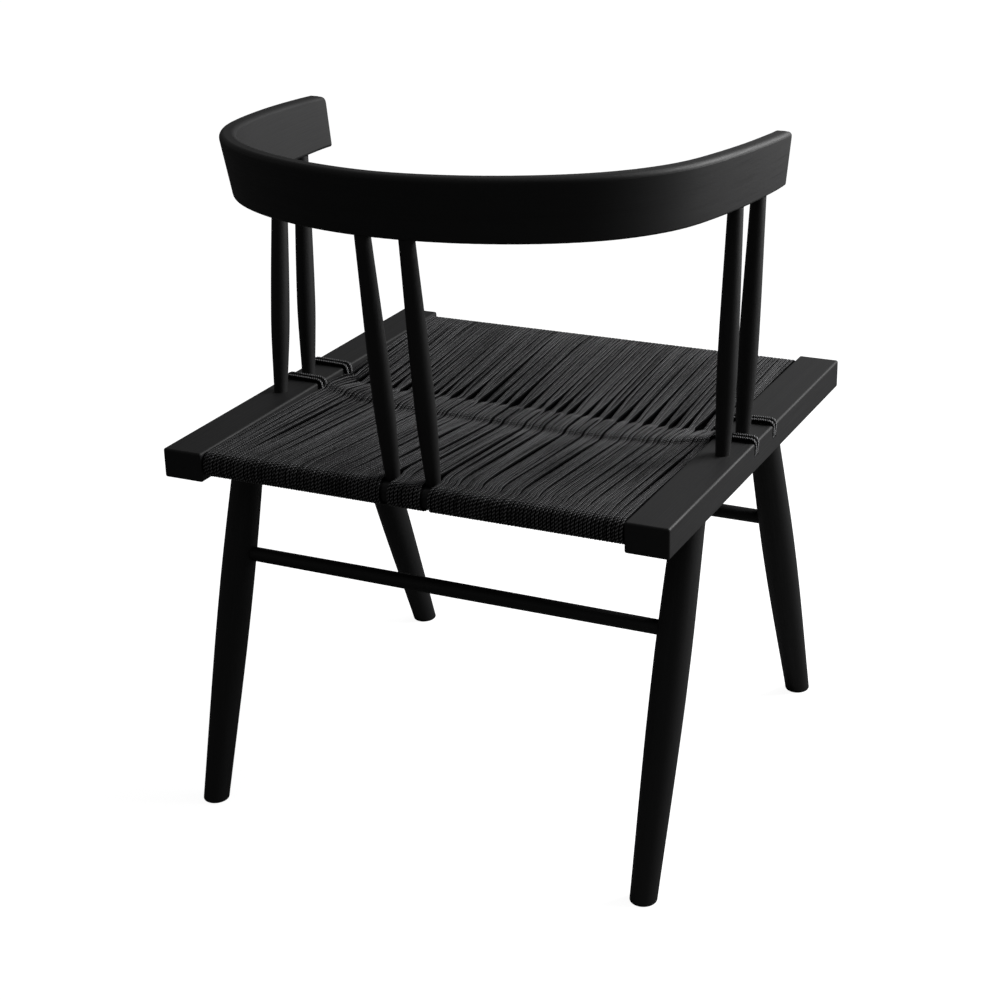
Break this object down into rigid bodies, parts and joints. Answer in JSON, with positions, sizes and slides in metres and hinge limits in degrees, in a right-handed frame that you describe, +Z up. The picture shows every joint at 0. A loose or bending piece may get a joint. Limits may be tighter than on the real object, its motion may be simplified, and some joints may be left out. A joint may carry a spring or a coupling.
{
  "type": "dining armchair",
  "caption": "Low-backed dining armchair with a bent horseshoe crest rail on turned spindles, splayed turned legs and a wound cord seat.",
  "frame": {"origin": "on the floor, under the middle of the chair's bounding box", "axes": "+Z up, the sitter faces -Y, +X is the sitter's left"},
  "size_m": [0.582, 0.593, 0.7592],
  "materials": {
    "stained_wood": "satin black stain",
    "paper_cord": "black twisted paper cord"
  },
  "bodies": {
    "root": {"left_side_rail": "stained_wood", "right_side_rail": "stained_wood", "front_cross_rail": "stained_wood", "rear_cross_rail": "stained_wood", "crest_rail": "stained_wood", "left_front_spindle": "stained_wood", "left_rear_spindle": "stained_wood", "right_front_spindle": "stained_wood", "right_rear_spindle": "stained_wood", "back_left_spindle": "stained_wood", "back_right_spindle": "stained_wood", "front_left_leg": "stained_wood", "front_right_leg": "stained_wood", "rear_left_leg": "stained_wood", "rear_right_leg": "stained_wood", "front_stretcher": "stained_wood", "rear_stretcher": "stained_wood", "seat_cord": "paper_cord", "front_binder_cord": "paper_cord", "rear_binder_cord": "paper_cord"}
  },
  "joints": []
}
